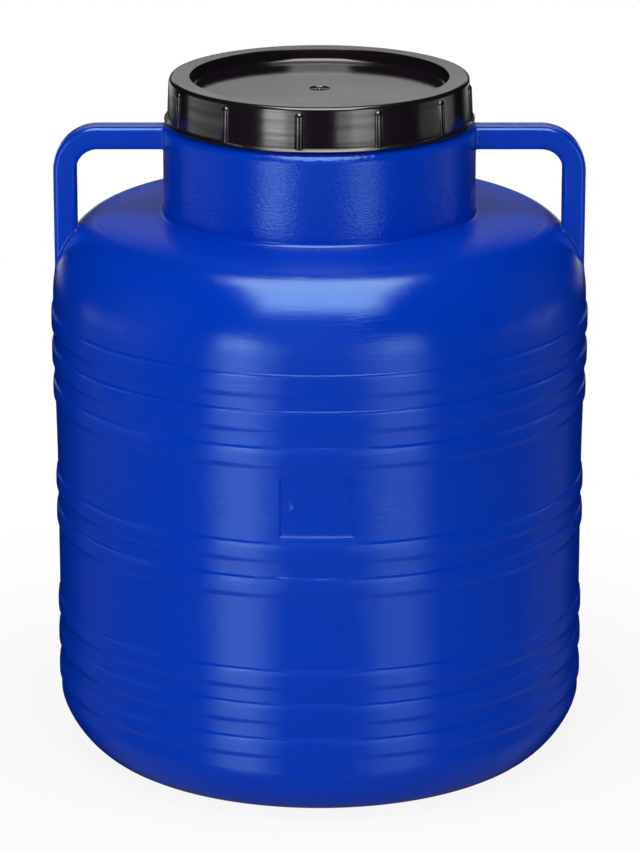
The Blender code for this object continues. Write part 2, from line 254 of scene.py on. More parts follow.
def full_corner(inner, outer, powers, steps=600):
    """Corner that leaves the inner point level and meets the outer one upright."""
    angle = np.linspace(0.0, math.pi / 2, steps + 1)
    out = np.sin(angle) ** (2 / powers[0])
    away = np.cos(angle) ** (2 / powers[1])
    radius = inner[0] + (outer[0] - inner[0]) * out
    height = outer[1] + (inner[1] - outer[1]) * away
    return np.column_stack((radius, height))


def rounded(corners, steps=14):
    """Outline through (radius, height, rounding) corners, each rounded by an arc."""
    points = [Vector(corners[0][:2])]
    for before, here, after in zip(corners, corners[1:], corners[2:]):
        spot = Vector(here[:2])
        back = (Vector(before[:2]) - spot).normalized()
        ahead = (Vector(after[:2]) - spot).normalized()
        if here[2] <= 0.0:
            points.append(spot)
            continue
        half = back.angle(ahead) / 2
        start = spot + back * (here[2] / math.tan(half))
        end = spot + ahead * (here[2] / math.tan(half))
        centre = spot + (back + ahead).normalized() * (here[2] / math.sin(half))
        first = math.atan2(*(start - centre).yx)
        swing = math.remainder(math.atan2(*(end - centre).yx) - first, math.tau)
        for step in range(steps + 1):
            angle = first + swing * step / steps
            points.append(centre + here[2] * Vector((math.cos(angle), math.sin(angle))))
    points.append(Vector(corners[-1][:2]))
    return np.array([tuple(point) for point in points])


def spread(points, longest, turning=TURN_PER_POINT, support=SUPPORT):
    """Thin a fine outline to points where it bends, with support beside each bend."""
    dense = [points[0]]
    for point in points[1:]:
        gap = float(np.hypot(*(point - dense[-1])))
        if gap < WELD:
            continue
        parts = max(1, math.ceil(gap / longest))
        start = dense[-1]
        dense += [start + (point - start) * (part + 1) / parts for part in range(parts)]
    dense = np.array(dense)
    legs = np.diff(dense, axis=0)
    sizes = np.hypot(*legs.T)
    bends = np.abs(np.diff(np.unwrap(np.arctan2(legs[:, 1], legs[:, 0]))))
    kept = [0]
    bend = 0.0
    for index in range(1, len(dense) - 1):
        bend += bends[index - 1]
        far = float(np.hypot(*(dense[index + 1] - dense[kept[-1]])))
        if bend > turning or far > longest:
            kept.append(index)
            bend = 0.0
    along = np.concatenate(([0.0], np.cumsum(sizes)))
    curved = bends > SHARPEST_FLAT * np.minimum(sizes[1:], sizes[:-1])
    edges = []
    for index in np.flatnonzero(curved[1:] != curved[:-1]):
        place = along[index + 1 if curved[index] else index + 2]
        if not curved[index] and edges and place - edges[-1] < SHORTEST_FLAT:
            edges.pop()
        else:
            edges.append(place)
    if not edges or support == 0.0:
        return dense[kept + [len(dense) - 1]]
    edges = np.array(edges)
    places = np.concatenate((along[kept], edges, edges - support, edges + support))
    places = np.unique(np.clip(places, 0.0, along[-1]))
    places = places[np.diff(places, prepend=-1.0) > support / 4]
    places = np.append(places, along[-1])
    return np.column_stack([np.interp(places, along, dense[:, axis]) for axis in (0, 1)])


def outline_normals(points):
    """Unit normals to the right of an outline's heading, which is its outside."""
    legs = np.diff(points, axis=0)
    legs /= np.linalg.norm(legs, axis=1)[:, None]
    heading = np.vstack((legs[:1], legs[:-1] + legs[1:], legs[-1:]))
    heading /= np.linalg.norm(heading, axis=1)[:, None]
    return np.column_stack((heading[:, 1], -heading[:, 0]))


def band_relief(height, shape):
    """How far the raised bands stand out of the wall at a height."""
    relief = np.zeros_like(height)
    sharp_edge = (SHARP_SHARE, shape.band_upper_step, shape.band_upper_flank, SHARP_POWER)
    for low, high in BANDS:
        share, reach, flank, power = sharp_edge if high > SHARP_BANDS else SOFT_EDGE
        rise = ramp((height - low) / shape.band_lower_flank)
        below = high - height
        crest = 1.0 - np.clip(1.0 - below / flank, 0.0, 1.0) ** power
        edge = share * ramp(below / reach) + (1.0 - share) * crest
        relief += shape.band_relief * rise * np.where(below > 0.0, edge, 0.0)
    return relief


def wall_outline(shape, inset=0.0, band_share=1.0):
    """The wall's (radius, height) points, going up, set in from the outside."""
    height = np.linspace(CORNER_HEIGHT, SHOULDER_START, 4000)
    widening = ramp((height - TAPER_START) / (TAPER_END - TAPER_START))
    radius = shape.lower_radius + (shape.upper_radius - shape.lower_radius) * widening
    radius += band_relief(height, shape) * band_share - inset
    return np.column_stack((radius, height))


def eased(points, upper_radius, shoulder):
    """Let the wall bend slowly into the shoulder between the two lead-in heights."""
    start, end = LEAD_IN
    order = np.argsort(shoulder[:, 1])
    drop = upper_radius - shoulder[order, 0]
    step = 0.0005
    near = (end - step, end, end + step)
    before, here, after = np.interp(near, shoulder[order, 1], drop)
    power = (after - before) / (2 * step) * (end - start) / here
    share = (points[:, 1] - start) / (end - start)
    inside = (share > 0.0) & (share < 1.0)
    radius = upper_radius - here * np.clip(share, 0.0, 1.0) ** power
    return np.column_stack((np.where(inside, radius, points[:, 0]), points[:, 1]))


def body_outline(shape):
    """Section of the barrel: under the base, up outside, over the rim, down inside."""
    wall = shape.wall
    inner_neck, throat, floor = NECK_RADIUS - wall, NECK_LEDGE - wall, BASE_HOLLOW_HEIGHT + wall
    heel = (FOOT_OUTER_RADIUS - wall / 2, wall)
    neck_foot = (NECK_RADIUS + NECK_FILLET, SHOULDER_TOP)
    inner_neck_foot = (inner_neck, SHOULDER_TOP - wall)
    base = [
        (0.0, BASE_HOLLOW_HEIGHT, 0.0),
        (BASE_HOLLOW_RADIUS, BASE_HOLLOW_HEIGHT, 0.0040),
        (FOOT_INNER_RADIUS, 0.0, 0.0030),
        (FOOT_OUTER_RADIUS, 0.0, 0.0),
    ]
    neck = [
        (*neck_foot, 0.0),
        (NECK_RADIUS, SHOULDER_TOP, NECK_FILLET * 0.999),
        (NECK_RADIUS, NECK_LEDGE, 0.0070),
        (COLLAR_RADIUS, NECK_LEDGE, 0.0012),
        (COLLAR_RADIUS, RIM_HEIGHT, 0.0009),
        (COLLAR_BORE, RIM_HEIGHT, 0.0009),
        (COLLAR_BORE, throat, 0.0020),
        (inner_neck, throat, 0.0045),
        (*inner_neck_foot, 0.0),
    ]
    inner_base = [heel, (FOOT_INNER_RADIUS, wall), (BASE_HOLLOW_RADIUS, floor), (0.0, floor)]
    corners, shoulders = [], []
    sides = ((base[-1][:2], neck_foot, 0.0), (heel, inner_neck_foot, wall))
    for foot, head, inset in sides:
        lower = (shape.lower_radius - inset, CORNER_HEIGHT)
        upper = (shape.upper_radius - inset, SHOULDER_START)
        corners.append(full_corner(foot, lower, CORNER_POWERS))
        shoulders.append(full_corner(head, upper, SHOULDER_POWERS))
    inner_wall = wall_outline(shape, wall, INNER_BAND_SHARE)
    rising = np.vstack((wall_outline(shape), shoulders[0][-2::-1]))
    rising = eased(rising, shape.upper_radius, shoulders[0])
    climb = int(np.argmax(rising[:, 1] > SHOULDER_START))
    points = [
        spread(rounded(base), 0.0300),
        spread(corners[0], 0.0040),
        spread(rising[:climb], 0.0060),
        spread(rising[climb - 1 :], 0.0028, 0.12),
        spread(rounded(neck), 0.0060),
        spread(shoulders[1], 0.0120, 0.3, 0.0),
        spread(inner_wall[::-1], 0.0140, 0.6, 0.0),
        spread(corners[1][::-1], 0.0120, 0.3, 0.0),
        spread(np.array(inner_base), 0.0300, 0.3, 0.0),
    ]
    points = np.vstack(points)
    gaps = np.hypot(*np.diff(points, axis=0).T)
    return points[np.concatenate(([True], gaps > 5 * WELD))]


# ---------------------------------------------------------------- meshes


def column_angles(count, special=()):
    """Angles from -Y towards +X for a shell's columns, kept clear of special ones."""
    special = np.array(sorted(special), float)
    step = math.tau / count
    angles = []
    for index in range(count):
        angle = math.remainder(index * step, math.tau)
        away = np.abs((special - angle + math.pi) % math.tau - math.pi)
        if special.size == 0 or away.min() > COLUMN_CLEARANCE * step:
            angles.append(angle)
    return np.sort(np.concatenate((angles, special)))


def ring_faces(rows, columns, closed=False):
    """Faces between rows of points, and from the last row to the first if closed."""
    row = np.arange(rows if closed else rows - 1)[:, None] * columns
    here = np.arange(columns)[None, :]
    after = (here + 1) % columns
    up = (row + columns) % (rows * columns)
    quads = np.stack((row + here, row + after, up + after, up + here), axis=-1)
    return quads.reshape(-1, 4).tolist()


def turned_mesh(outline, angles, shape_point=None, closed=False):
    """Vertices and faces of an outline turned about Z.

    An open outline has both ends on the axis, and a closed one makes a ring. The
    shape_point function may move the grid of points before it is used.
    """
    ring = outline if closed else outline[1:-1]
    radius, height = (np.repeat(ring[:, [axis]], len(angles), axis=1) for axis in (0, 1))
    if shape_point:
        radius, height = shape_point(radius, height, angles)
    across = radius * np.sin(angles)
    along = -radius * np.cos(angles)
    verts = np.stack((across, along, height), axis=-1).reshape(-1, 3)
    rows, columns = radius.shape
    faces = ring_faces(rows, columns, closed)
    if not closed:
        first = len(verts)
        tips = [(0.0, 0.0, outline[0][1]), (0.0, 0.0, outline[-1][1])]
        verts = np.vstack((verts, tips))
        top = (rows - 1) * columns
        for here in range(columns):
            after = (here + 1) % columns
            faces.append((first, after, here))
            faces.append((first + 1, top + here, top + after))
    return verts, faces


def clean(mesh):
    """Merge doubled points and turn the faces outwards."""
    builder = bmesh.new()
    builder.from_mesh(mesh)
    bmesh.ops.remove_doubles(builder, verts=builder.verts, dist=WELD)
    bmesh.ops.recalc_face_normals(builder, faces=builder.faces)
    builder.to_mesh(mesh)
    builder.free()


def make_object(name, verts=(), faces=(), material=None):
    """A mesh object at the origin with outward faces and creased shading."""
    mesh = bpy.data.meshes.new(name)
    mesh.from_pydata([tuple(vert) for vert in verts], [], faces)
    clean(mesh)
    item = bpy.data.objects.new(name, mesh)
    bpy.context.scene.collection.objects.link(item)
    if material:
        finish_mesh(item, material)
    return item


def finish_mesh(item, material):
    """Smooth shading with creases, and one material on every face."""
    mesh = item.data
    mesh.materials.clear()
    mesh.materials.append(material)
    mesh.polygons.foreach_set("material_index", [0] * len(mesh.polygons))
    mesh.shade_smooth()
    mesh.set_sharp_from_angle(angle=CREASE_ANGLE)
    mesh.update()


def as_plain_mesh(item):
    """Replace an object's modifiers by the mesh that they make."""
    graph = bpy.context.evaluated_depsgraph_get()
    made = bpy.data.meshes.new_from_object(item.evaluated_get(graph), depsgraph=graph)
    item.modifiers.clear()
    before = item.data
    item.data = made
    bpy.data.meshes.remove(before)
    made.name = item.name


# ---------------------------------------------------------------- distances


def ridge(across):
    """Height of the mould's parting ridge at a distance from its plane."""
    return RIDGE_HEIGHT * np.exp(-((across / RIDGE_WIDTH) ** 2))


def ledge_row(points):
    """Number of the first outline point at the neck's ledge."""
    return int(np.argmax(points[:, 1] >= NECK_LEDGE - 0.0005))


class TurnedSkin:
    """Signed distance to the outside of the shoulder and neck."""

    def __init__(self, shape):
        points = body_outline(shape)
        start = int(np.argmax(points[:, 1] > SHOULDER_START - 0.0200))
        self.line = points[start : ledge_row(points)]
        self.leg = np.diff(self.line, axis=0)
        self.span = (self.leg**2).sum(axis=1)

    def distance(self, spots):
        """Distance outside the skin, negative inside it, of an array of points."""
        flat = np.column_stack((np.hypot(spots[:, 0], spots[:, 1]), spots[:, 2]))
        away = flat[:, None, :] - self.line[None, :-1, :]
        share = np.clip((away * self.leg).sum(-1) / self.span, 0.0, 1.0)
        rest = away - share[..., None] * self.leg
        size = (rest**2).sum(-1)
        near = size.argmin(axis=1)
        rows = np.arange(len(flat))
        leg = self.leg[near]
        rest = rest[rows, near]
        side = np.sign(rest[:, 0] * leg[:, 1] - rest[:, 1] * leg[:, 0])
        return side * np.sqrt(size[rows, near])

    def height_at(self, radius, inset):
        """Height of the shoulder, set in by a distance, over a distance from the axis."""
        points = self.line - outline_normals(self.line) * inset
        points = points[points[:, 1] < SHOULDER_TOP - inset - 0.00005]
        order = np.argsort(points[:, 0])
        return np.interp(radius, points[order, 0], points[order, 1])


class HandleBar:
    """A handle's bar: out of the neck, round a corner and down into the shoulder."""

    def __init__(self, shape):
        self.half_width = shape.handle_width / 2
        self.half_depth = shape.handle_depth / 2
        self.arm_height = HANDLE_TOP - self.half_width
        self.leg_reach = HANDLE_REACH - self.half_width
        self.turn_x = self.leg_reach - HANDLE_CORNER
        self.turn_z = self.arm_height - HANDLE_CORNER

    def distance(self, spots):
        """Distance outside the bar on its own side, negative inside it."""
        x = np.abs(spots[:, 0])
        y = np.abs(spots[:, 1])
        z = spots[:, 2]
        bend = np.hypot(x - self.turn_x, z - self.turn_z) - HANDLE_CORNER
        off = np.where(x < self.turn_x, z - self.arm_height, bend)
        off = np.where((x >= self.turn_x) & (z < self.turn_z), x - self.leg_reach, off)
        over = np.abs(off) - (self.half_width - HANDLE_EDGE)
        deep = y - (self.half_depth - HANDLE_EDGE)
        outside = np.hypot(np.maximum(over, 0.0), np.maximum(deep, 0.0))
        return outside + np.minimum(np.maximum(over, deep), 0.0) - HANDLE_EDGE

    def section(self):
        """Offsets and depths of the bar's outline, fine at the parting plane."""
        parting = (*PARTING_OFFSETS, 0.0, *(-offset for offset in PARTING_OFFSETS[::-1]))
        points = []
        for quarter, (side, front) in enumerate(((1, 1), (-1, 1), (-1, -1), (1, -1))):
            across = side * (self.half_width - HANDLE_EDGE)
            along = front * (self.half_depth - HANDLE_EDGE)
            for angle in math.pi / 2 * (quarter + np.arange(7) / 6):
                bend = HANDLE_EDGE * np.array((math.cos(angle), math.sin(angle)))
                points.append((across + bend[0], along + bend[1]))
            if quarter in (0, 2):
                shares = np.linspace(0.75, -0.75, 7)
                points += [(across * share, front * self.half_depth) for share in shares]
            else:
                points += [(side * self.half_width, front * offset) for offset in parting]
        return np.array(points).T

    def mesh(self, side, skin):
        """Vertices and faces of the bar, from inside the neck's wall to the shoulder's."""
        off, deep = self.section()
        far = HANDLE_CORNER + off
        leg = self.leg_reach + off
        root = np.arange(HANDLE_ROOT_START, HANDLE_ROOT_END, 0.0010)
        arm = np.concatenate((root, np.linspace(HANDLE_ROOT_END, self.turn_x, 9)[:-1]))
        rings = [(np.full_like(off, reach), self.arm_height + off) for reach in arm]
        for angle in math.pi / 2 * (1 - np.arange(19) / 18):
            rings.append((self.turn_x + far * math.cos(angle), self.turn_z + far * math.sin(angle)))
        for height in np.linspace(self.turn_z, HANDLE_FOOT_START, 6)[1:]:
            rings.append((leg, np.full_like(off, height)))
        ends = skin.height_at(np.hypot(leg, deep), FOOT_INSET)
        for share in np.linspace(0.0, 1.0, 36)[1:]:
            rings.append((leg, HANDLE_FOOT_START + (ends - HANDLE_FOOT_START) * share))
        count = len(off)
        verts = [(side * x, y, z) for across, up in rings for x, y, z in zip(across, deep, up)]
        faces = ring_faces(len(rings), count) + [tuple(range(count))]
        foot = float(skin.height_at(self.leg_reach, FOOT_INSET))
        verts.append((side * self.leg_reach, 0.0, foot))
        last = (len(rings) - 1) * count
        for here in range(count):
            faces.append((last + here, last + (here + 1) % count, len(verts) - 1))
        return verts, faces


def blended(first, second, radius):
    """Distance to two joined solids with a fillet of that radius between them."""
    near = np.maximum(radius - first, 0.0)
    far = np.maximum(radius - second, 0.0)
    return np.maximum(radius, np.minimum(first, second)) - np.hypot(near, far)


def soften_joins(spots, skin, bar, shape):
    """Move points near a handle's ends onto a filleted surface, by Newton's steps."""

    def field(points):
        first = skin.distance(points) - ridge(points[:, 1])
        second = bar.distance(points) - ridge(points[:, 1])
        share = ramp((points[:, 2] - FILLET_CHANGE) / FILLET_CHANGE_SPAN)
        radius = shape.foot_fillet + (ROOT_FILLET - shape.foot_fillet) * share
        return blended(first, second, radius)

    nudge, longest = 0.00001, 0.0007
    moved = spots.copy()
    for _ in range(7):
        value = field(moved)
        slope = np.empty_like(moved)
        for axis in range(3):
            nudged = moved.copy()
            nudged[:, axis] += nudge
            slope[:, axis] = (field(nudged) - value) / nudge
        size = np.maximum((slope**2).sum(axis=1), 0.2)
        change = slope * (value / size)[:, None]
        far = np.maximum(np.linalg.norm(change, axis=1), 1e-12)
        moved -= change * np.minimum(1.0, longest / far)[:, None]
    return moved


def near_handles(spots, lowest, skin, bar):
    """Numbers of the outside points round the handles, and their distances from the bar."""
    picked = (np.abs(spots[:, 0]) > 0.1) & (np.abs(spots[:, 1]) < 0.03)
    picked = np.flatnonzero(picked & (spots[:, 2] > lowest))
    picked = picked[skin.distance(spots[picked]) > -SKIN_DEPTH]
    return picked, bar.distance(spots[picked])


# ---------------------------------------------------------------- barrel


def plate_span(shape):
    """Middle and half width of the plate recess, as angles."""
    return PLATE_CENTRE_X / shape.lower_radius, shape.plate_width / 2 / shape.lower_radius


def shape_shell(shape, outline):
    """A function that adds the plate recess and parting ridge to the shell's grid."""
    normals = outline_normals(outline)[1:-1, None]
    outer_rows = np.arange(len(outline) - 2) < ledge_row(outline)
    middle, half = plate_span(shape)

    def apply(radius, height, angles):
        across = shape.lower_radius * (half - np.abs(angles - middle))
        depth = shape.plate_depth * ramp(across / shape.plate_bevel + 0.5)[None, :]
        for inwards in (height - PLATE_LOW, PLATE_HIGH - height):
            depth = depth * ramp(inwards / shape.plate_bevel + 0.5)
        out = ridge(radius * np.cos(angles)[None, :]) * (radius > 0.01)
        lift = np.where(outer_rows[:, None], out - depth, 0.0)
        moved = radius + normals[..., 0] * lift
        raised = height + normals[..., 1] * lift
        return np.minimum(moved, CAD_HIGH.x), np.maximum(raised, 0.0)

    return apply


def special_columns(shape):
    """Column angles at the plate's upright edges and at the parting ridge."""
    middle, half = plate_span(shape)
    support = shape.plate_bevel / 2 + SUPPORT
    offsets = np.concatenate(((-support,), BEVEL_STEPS * shape.plate_bevel, (support,)))
    special = []
    for edge in (middle + half, middle - half):
        special += list(edge + offsets / shape.lower_radius)
    for quarter in (-math.pi / 2, math.pi / 2):
        special += [quarter + step * RIDGE_STEP for step in RIDGE_COLUMNS]
    return special


def with_plate_rows(outline, shape):
    """Add outline points where the plate recess begins and ends."""
    climb = np.argmax(outline[:, 1] >= SHOULDER_START)
    outer = outline[:climb]
    edges = np.array((PLATE_LOW, PLATE_HIGH))[:, None]
    for height in (edges + BEVEL_STEPS * shape.plate_bevel).ravel():
        if np.abs(outer[:, 1] - height).min() < 0.00005:
            continue
        place = int(np.argmax((outer[:, 1] > height) & (outer[:, 0] > 0.17)))
        share = (height - outer[place - 1, 1]) / (outer[place, 1] - outer[place - 1, 1])
        point = outer[place - 1] + (outer[place] - outer[place - 1]) * share
        outer = np.insert(outer, place, point, axis=0)
    return np.vstack((outer, outline[climb:]))


def refine_near_handles(item, skin, bar):
    """Cut the shell's faces finer where the handles grow out of it."""
    builder = bmesh.new()
    builder.from_mesh(item.data)
    builder.faces.ensure_lookup_table()
    centres = np.array([face.calc_center_median() for face in builder.faces])
    picked, away = near_handles(centres, SHOULDER_START - 0.010, skin, bar)
    chosen = [builder.faces[index] for index in picked[np.abs(away) < REFINE_REACH]]
    edges = {edge for face in chosen for edge in face.edges if edge.calc_length() > LONGEST_EDGE}
    bmesh.ops.subdivide_edges(builder, edges=list(edges), cuts=3, use_grid_fill=True)
    builder.to_mesh(item.data)
    builder.free()


def plate_mark(spot, shape):
    """A plain round raised mark on the plate's floor."""
    corners = [
        (0.0, -0.0006, 0.0),
        (0.0036, -0.0006, 0.0),
        (0.0034, 0.00065, 0.0002),
        (0.0024, 0.00065, 0.0002),
        (0.0022, 0.00015, 0.0001),
        (0.0, 0.00015, 0.0),
    ]
    verts, faces = turned_mesh(rounded(corners, 3), column_angles(40))
    floor = shape.lower_radius - shape.plate_depth
    out = math.sqrt(floor**2 - spot[0] ** 2)
    turn = Matrix.Rotation(math.pi / 2, 4, "X")
    heading = Matrix.Rotation(math.asin(spot[0] / floor), 4, "Z")
    place = Matrix.Translation((spot[0], -out, spot[1])) @ heading @ turn
    return [place @ Vector(vert) for vert in verts], faces


def handles_and_marks(shape, skin, bar):
    """One object with both handles' bars and the plate's marks."""
    parts = [bar.mesh(side, skin) for side in (1, -1)]
    parts += [plate_mark(spot, shape) for spot in PLATE_MARKS]
    all_verts, all_faces = [], []
    for verts, faces in parts:
        start = len(all_verts)
        all_verts += verts
        all_faces += [tuple(start + index for index in face) for face in faces]
    return make_object("handles_and_marks", all_verts, all_faces)


def build_barrel(shape, material):
    """The moulded shell with its bands, plate recess, parting ridge and handles."""
    outline = with_plate_rows(body_outline(shape), shape)
    angles = column_angles(SHELL_COLUMNS, special_columns(shape))
    verts, faces = turned_mesh(outline, angles, shape_shell(shape, outline))
    barrel = make_object("barrel_shell", verts, faces)
    skin = TurnedSkin(shape)
    bar = HandleBar(shape)
    refine_near_handles(barrel, skin, bar)
    extras = handles_and_marks(shape, skin, bar)
    join = barrel.modifiers.new("join", "BOOLEAN")
    join.operation = "UNION"
    join.solver = "EXACT"
    join.object = extras
    as_plain_mesh(barrel)
    bpy.data.objects.remove(extras)
    spots = np.empty(len(barrel.data.vertices) * 3)
    barrel.data.vertices.foreach_get("co", spots)
    spots = spots.reshape(-1, 3)
    picked, away = near_handles(spots, SHOULDER_START - 0.005, skin, bar)
    picked = picked[away < SOFTEN_REACH]
    spots[picked] = soften_joins(spots[picked], skin, bar, shape)
    barrel.data.vertices.foreach_set("co", spots.ravel())
    finish_mesh(barrel, material)
    return barrel


# ---------------------------------------------------------------- lid and seal


def lid_outline():
    """Section of the lid: out along its underside, up the skirt, over the rim and in."""
    top = LID_HIGH.z
    low = LID_LOW.z
    under = PANEL_TOP - PANEL_THICKNESS
    corners = [
        (0.0, under, 0.0),
        (0.0886, under, 0.0015),
        (0.0895, 0.4600, 0.0006),
        (0.0913, 0.4600, 0.0009),
        (0.0918, 0.4736, 0.0006),
        (0.1004, 0.4736, 0.0006),
        (0.1014, low, 0.0005),
        (LID_HIGH.x, low, 0.0003),
        (LID_HIGH.x, 0.4480, 0.0004),
        (0.1048, 0.4493, 0.0003),
        (0.1040, 0.4496, 0.0002),
        (*SKIRT_FOOT, 0.0002),
        (0.1031, top, 0.0024),
        (0.0890, top, 0.0006),
        (0.0878, PANEL_TOP, 0.0034),
        (0.0074, PANEL_TOP, 0.0004),
        (0.0071, PANEL_TOP + 0.00025, 0.0002),
        (0.0064, PANEL_TOP + 0.00025, 0.0002),
        (0.0060, PANEL_TOP - 0.00050, 0.0004),
        (0.0016, PANEL_TOP - 0.00050, 0.0003),
        (0.0013, PANEL_TOP + 0.00010, 0.0002),
        (0.0, PANEL_TOP + 0.00010, 0.0),
    ]
    return spread(rounded(corners, 10), 0.0060, 0.22)


def build_lid(material):
    """The lid's ribless shell: skirt, flange, flat rim, and flat sunk panel."""
    verts, faces = turned_mesh(lid_outline(), column_angles(LID_COLUMNS))
    return make_object("lid_shell", verts, faces, material)


def build_seal(material):
    """The seal: a rounded ring with a shallow groove in each flat face."""
    low, high = SEAL_LOW.z, SEAL_HIGH.z
    outer = SEAL_HIGH.x
    middle = (SEAL_BORE + outer) / 2
    half = [
        (SEAL_BORE, 0.0, 0.0005),
        (middle - 0.0010, 0.0, 0.0004),
        (middle - 0.0007, SEAL_GROOVE, 0.0002),
        (middle + 0.0007, SEAL_GROOVE, 0.0002),
        (middle + 0.0010, 0.0, 0.0004),
        (outer, 0.0, 0.0006),
    ]
    bottom = [(radius, low + up, rounding) for radius, up, rounding in half]
    top = [(radius, high - down, rounding) for radius, down, rounding in reversed(half)]
    start = (SEAL_BORE, (low + high) / 2, 0.0)
    outline = spread(rounded([start, *bottom, *top, start], 6), 0.0030, 0.3)[:-1]
    verts, faces = turned_mesh(outline, column_angles(SEAL_COLUMNS), closed=True)
    return make_object("seal_ring", verts, faces, material)


# ---------------------------------------------------------------- node trees


def arithmetic(operation, reflected=False):
    """A method that puts a Math node on a strand and another value."""

    def apply(strand, other):
        values = (other, strand) if reflected else (strand, other)
        return strand.owner.math(operation, *values)

    return apply


class Strand:
    """A node's output that takes part in Python arithmetic."""

    def __init__(self, owner, socket):
        self.owner = owner
        self.socket = socket

    __add__, __radd__ = arithmetic("ADD"), arithmetic("ADD", True)
    __sub__, __rsub__ = arithmetic("SUBTRACT"), arithmetic("SUBTRACT", True)
    __mul__, __rmul__ = arithmetic("MULTIPLY"), arithmetic("MULTIPLY", True)
    __truediv__, __rtruediv__ = arithmetic("DIVIDE"), arithmetic("DIVIDE", True)


class NodeTree:
    """A node tree that is written as expressions."""

    def node(self, kind, settings=None, sockets=None, output=0):
        """Add a node, set it, feed its sockets, and give one of its outputs, if any."""
        made = self.tree.nodes.new(kind)
        for key, value in (settings or {}).items():
            setattr(made, key, value)
        for key, value in (sockets or {}).items():
            if isinstance(value, Strand):
                self.tree.links.new(value.socket, made.inputs[key])
            else:
                made.inputs[key].default_value = value
        return None if output is None else Strand(self, made.outputs[output])

    def math(self, operation, *values):
        """A Math node on numbers or strands."""
        return self.node("ShaderNodeMath", {"operation": operation}, dict(enumerate(values)))

    def vector(self, **parts):
        """A vector with the given X, Y and Z."""
        return self.node("ShaderNodeCombineXYZ", None, parts)


class GeometryTree(NodeTree):
    """A Geometry Nodes tree with named inputs and a material."""

    def __init__(self, name, inputs):
        self.tree = bpy.data.node_groups.new(name, "GeometryNodeTree")
        face = self.tree.interface
        face.new_socket("Geometry", in_out="INPUT", socket_type="NodeSocketGeometry")
        self.identifiers = {}
        for label, value in {**inputs, "Material": None}.items():
            kind = {int: "Int", float: "Float"}.get(type(value), "Material")
            socket = face.new_socket(label, in_out="INPUT", socket_type="NodeSocket" + kind)
            if value is not None:
                socket.default_value = value
            self.identifiers[label] = socket.identifier
        face.new_socket("Geometry", in_out="OUTPUT", socket_type="NodeSocketGeometry")

    def given(self, label):
        """A named input."""
        return self.node("NodeGroupInput", None, None, label)

    def moved(self, geometry, **sockets):
        """Geometry after a Translation, a Rotation and a Scale."""
        return self.node("GeometryNodeTransform", None, {"Geometry": geometry, **sockets})

    def finish(self, geometry):
        """End the tree in real geometry with its material."""
        real = self.node("GeometryNodeRealizeInstances", None, {"Geometry": geometry})
        sockets = {"Geometry": real, "Material": self.given("Material")}
        coated = self.node("GeometryNodeSetMaterial", None, sockets)
        self.node("NodeGroupOutput", None, {"Geometry": coated}, None)
        return self


def rib_tree(inputs):
    """Round-topped pegs, evenly spaced on a circle and leaning in with the skirt.

    Height is how far a peg's upper end is drawn out, in peg widths.
    """
    tree = GeometryTree("Grip ribs", inputs)
    sockets = {"Segments": 40, "Rings": 24, "Radius": 1.0}
    ball = tree.node("GeometryNodeMeshUVSphere", None, sockets)
    place = tree.node("GeometryNodeInputPosition")
    sockets = {"A": tree.node("ShaderNodeSeparateXYZ", None, {0: place}, "Z"), "B": -0.00001}
    upper = tree.node("FunctionNodeCompare", {"operation": "GREATER_THAN"}, sockets)
    stretch = tree.vector(Z=tree.given("Height"))
    sockets = {"Geometry": ball, "Selection": upper, "Offset": stretch}
    long_ball = tree.node("GeometryNodeSetPosition", None, sockets)
    width = tree.given("Peg Width")
    peg = tree.moved(long_ball, Scale=tree.vector(X=tree.given("Peg Depth"), Y=width, Z=width))
    sockets = {"Vertices": tree.given("Count"), "Radius": tree.given("Ring Radius")}
    ring = tree.node("GeometryNodeMeshCircle", None, sockets)
    around = tree.node("GeometryNodeInputIndex") * math.tau / tree.given("Count")
    turn = tree.vector(Y=tree.given("Lean") * -1.0, Z=around)
    turned = tree.node("FunctionNodeEulerToRotation", None, {0: turn})
    sockets = {"Points": ring, "Instance": peg, "Rotation": turned}
    pegs = tree.node("GeometryNodeInstanceOnPoints", None, sockets)
    lift = tree.vector(Z=tree.given("Bottom"))
    swing = tree.vector(Z=tree.given("Phase"))
    return tree.finish(tree.moved(pegs, Translation=lift, Rotation=swing))


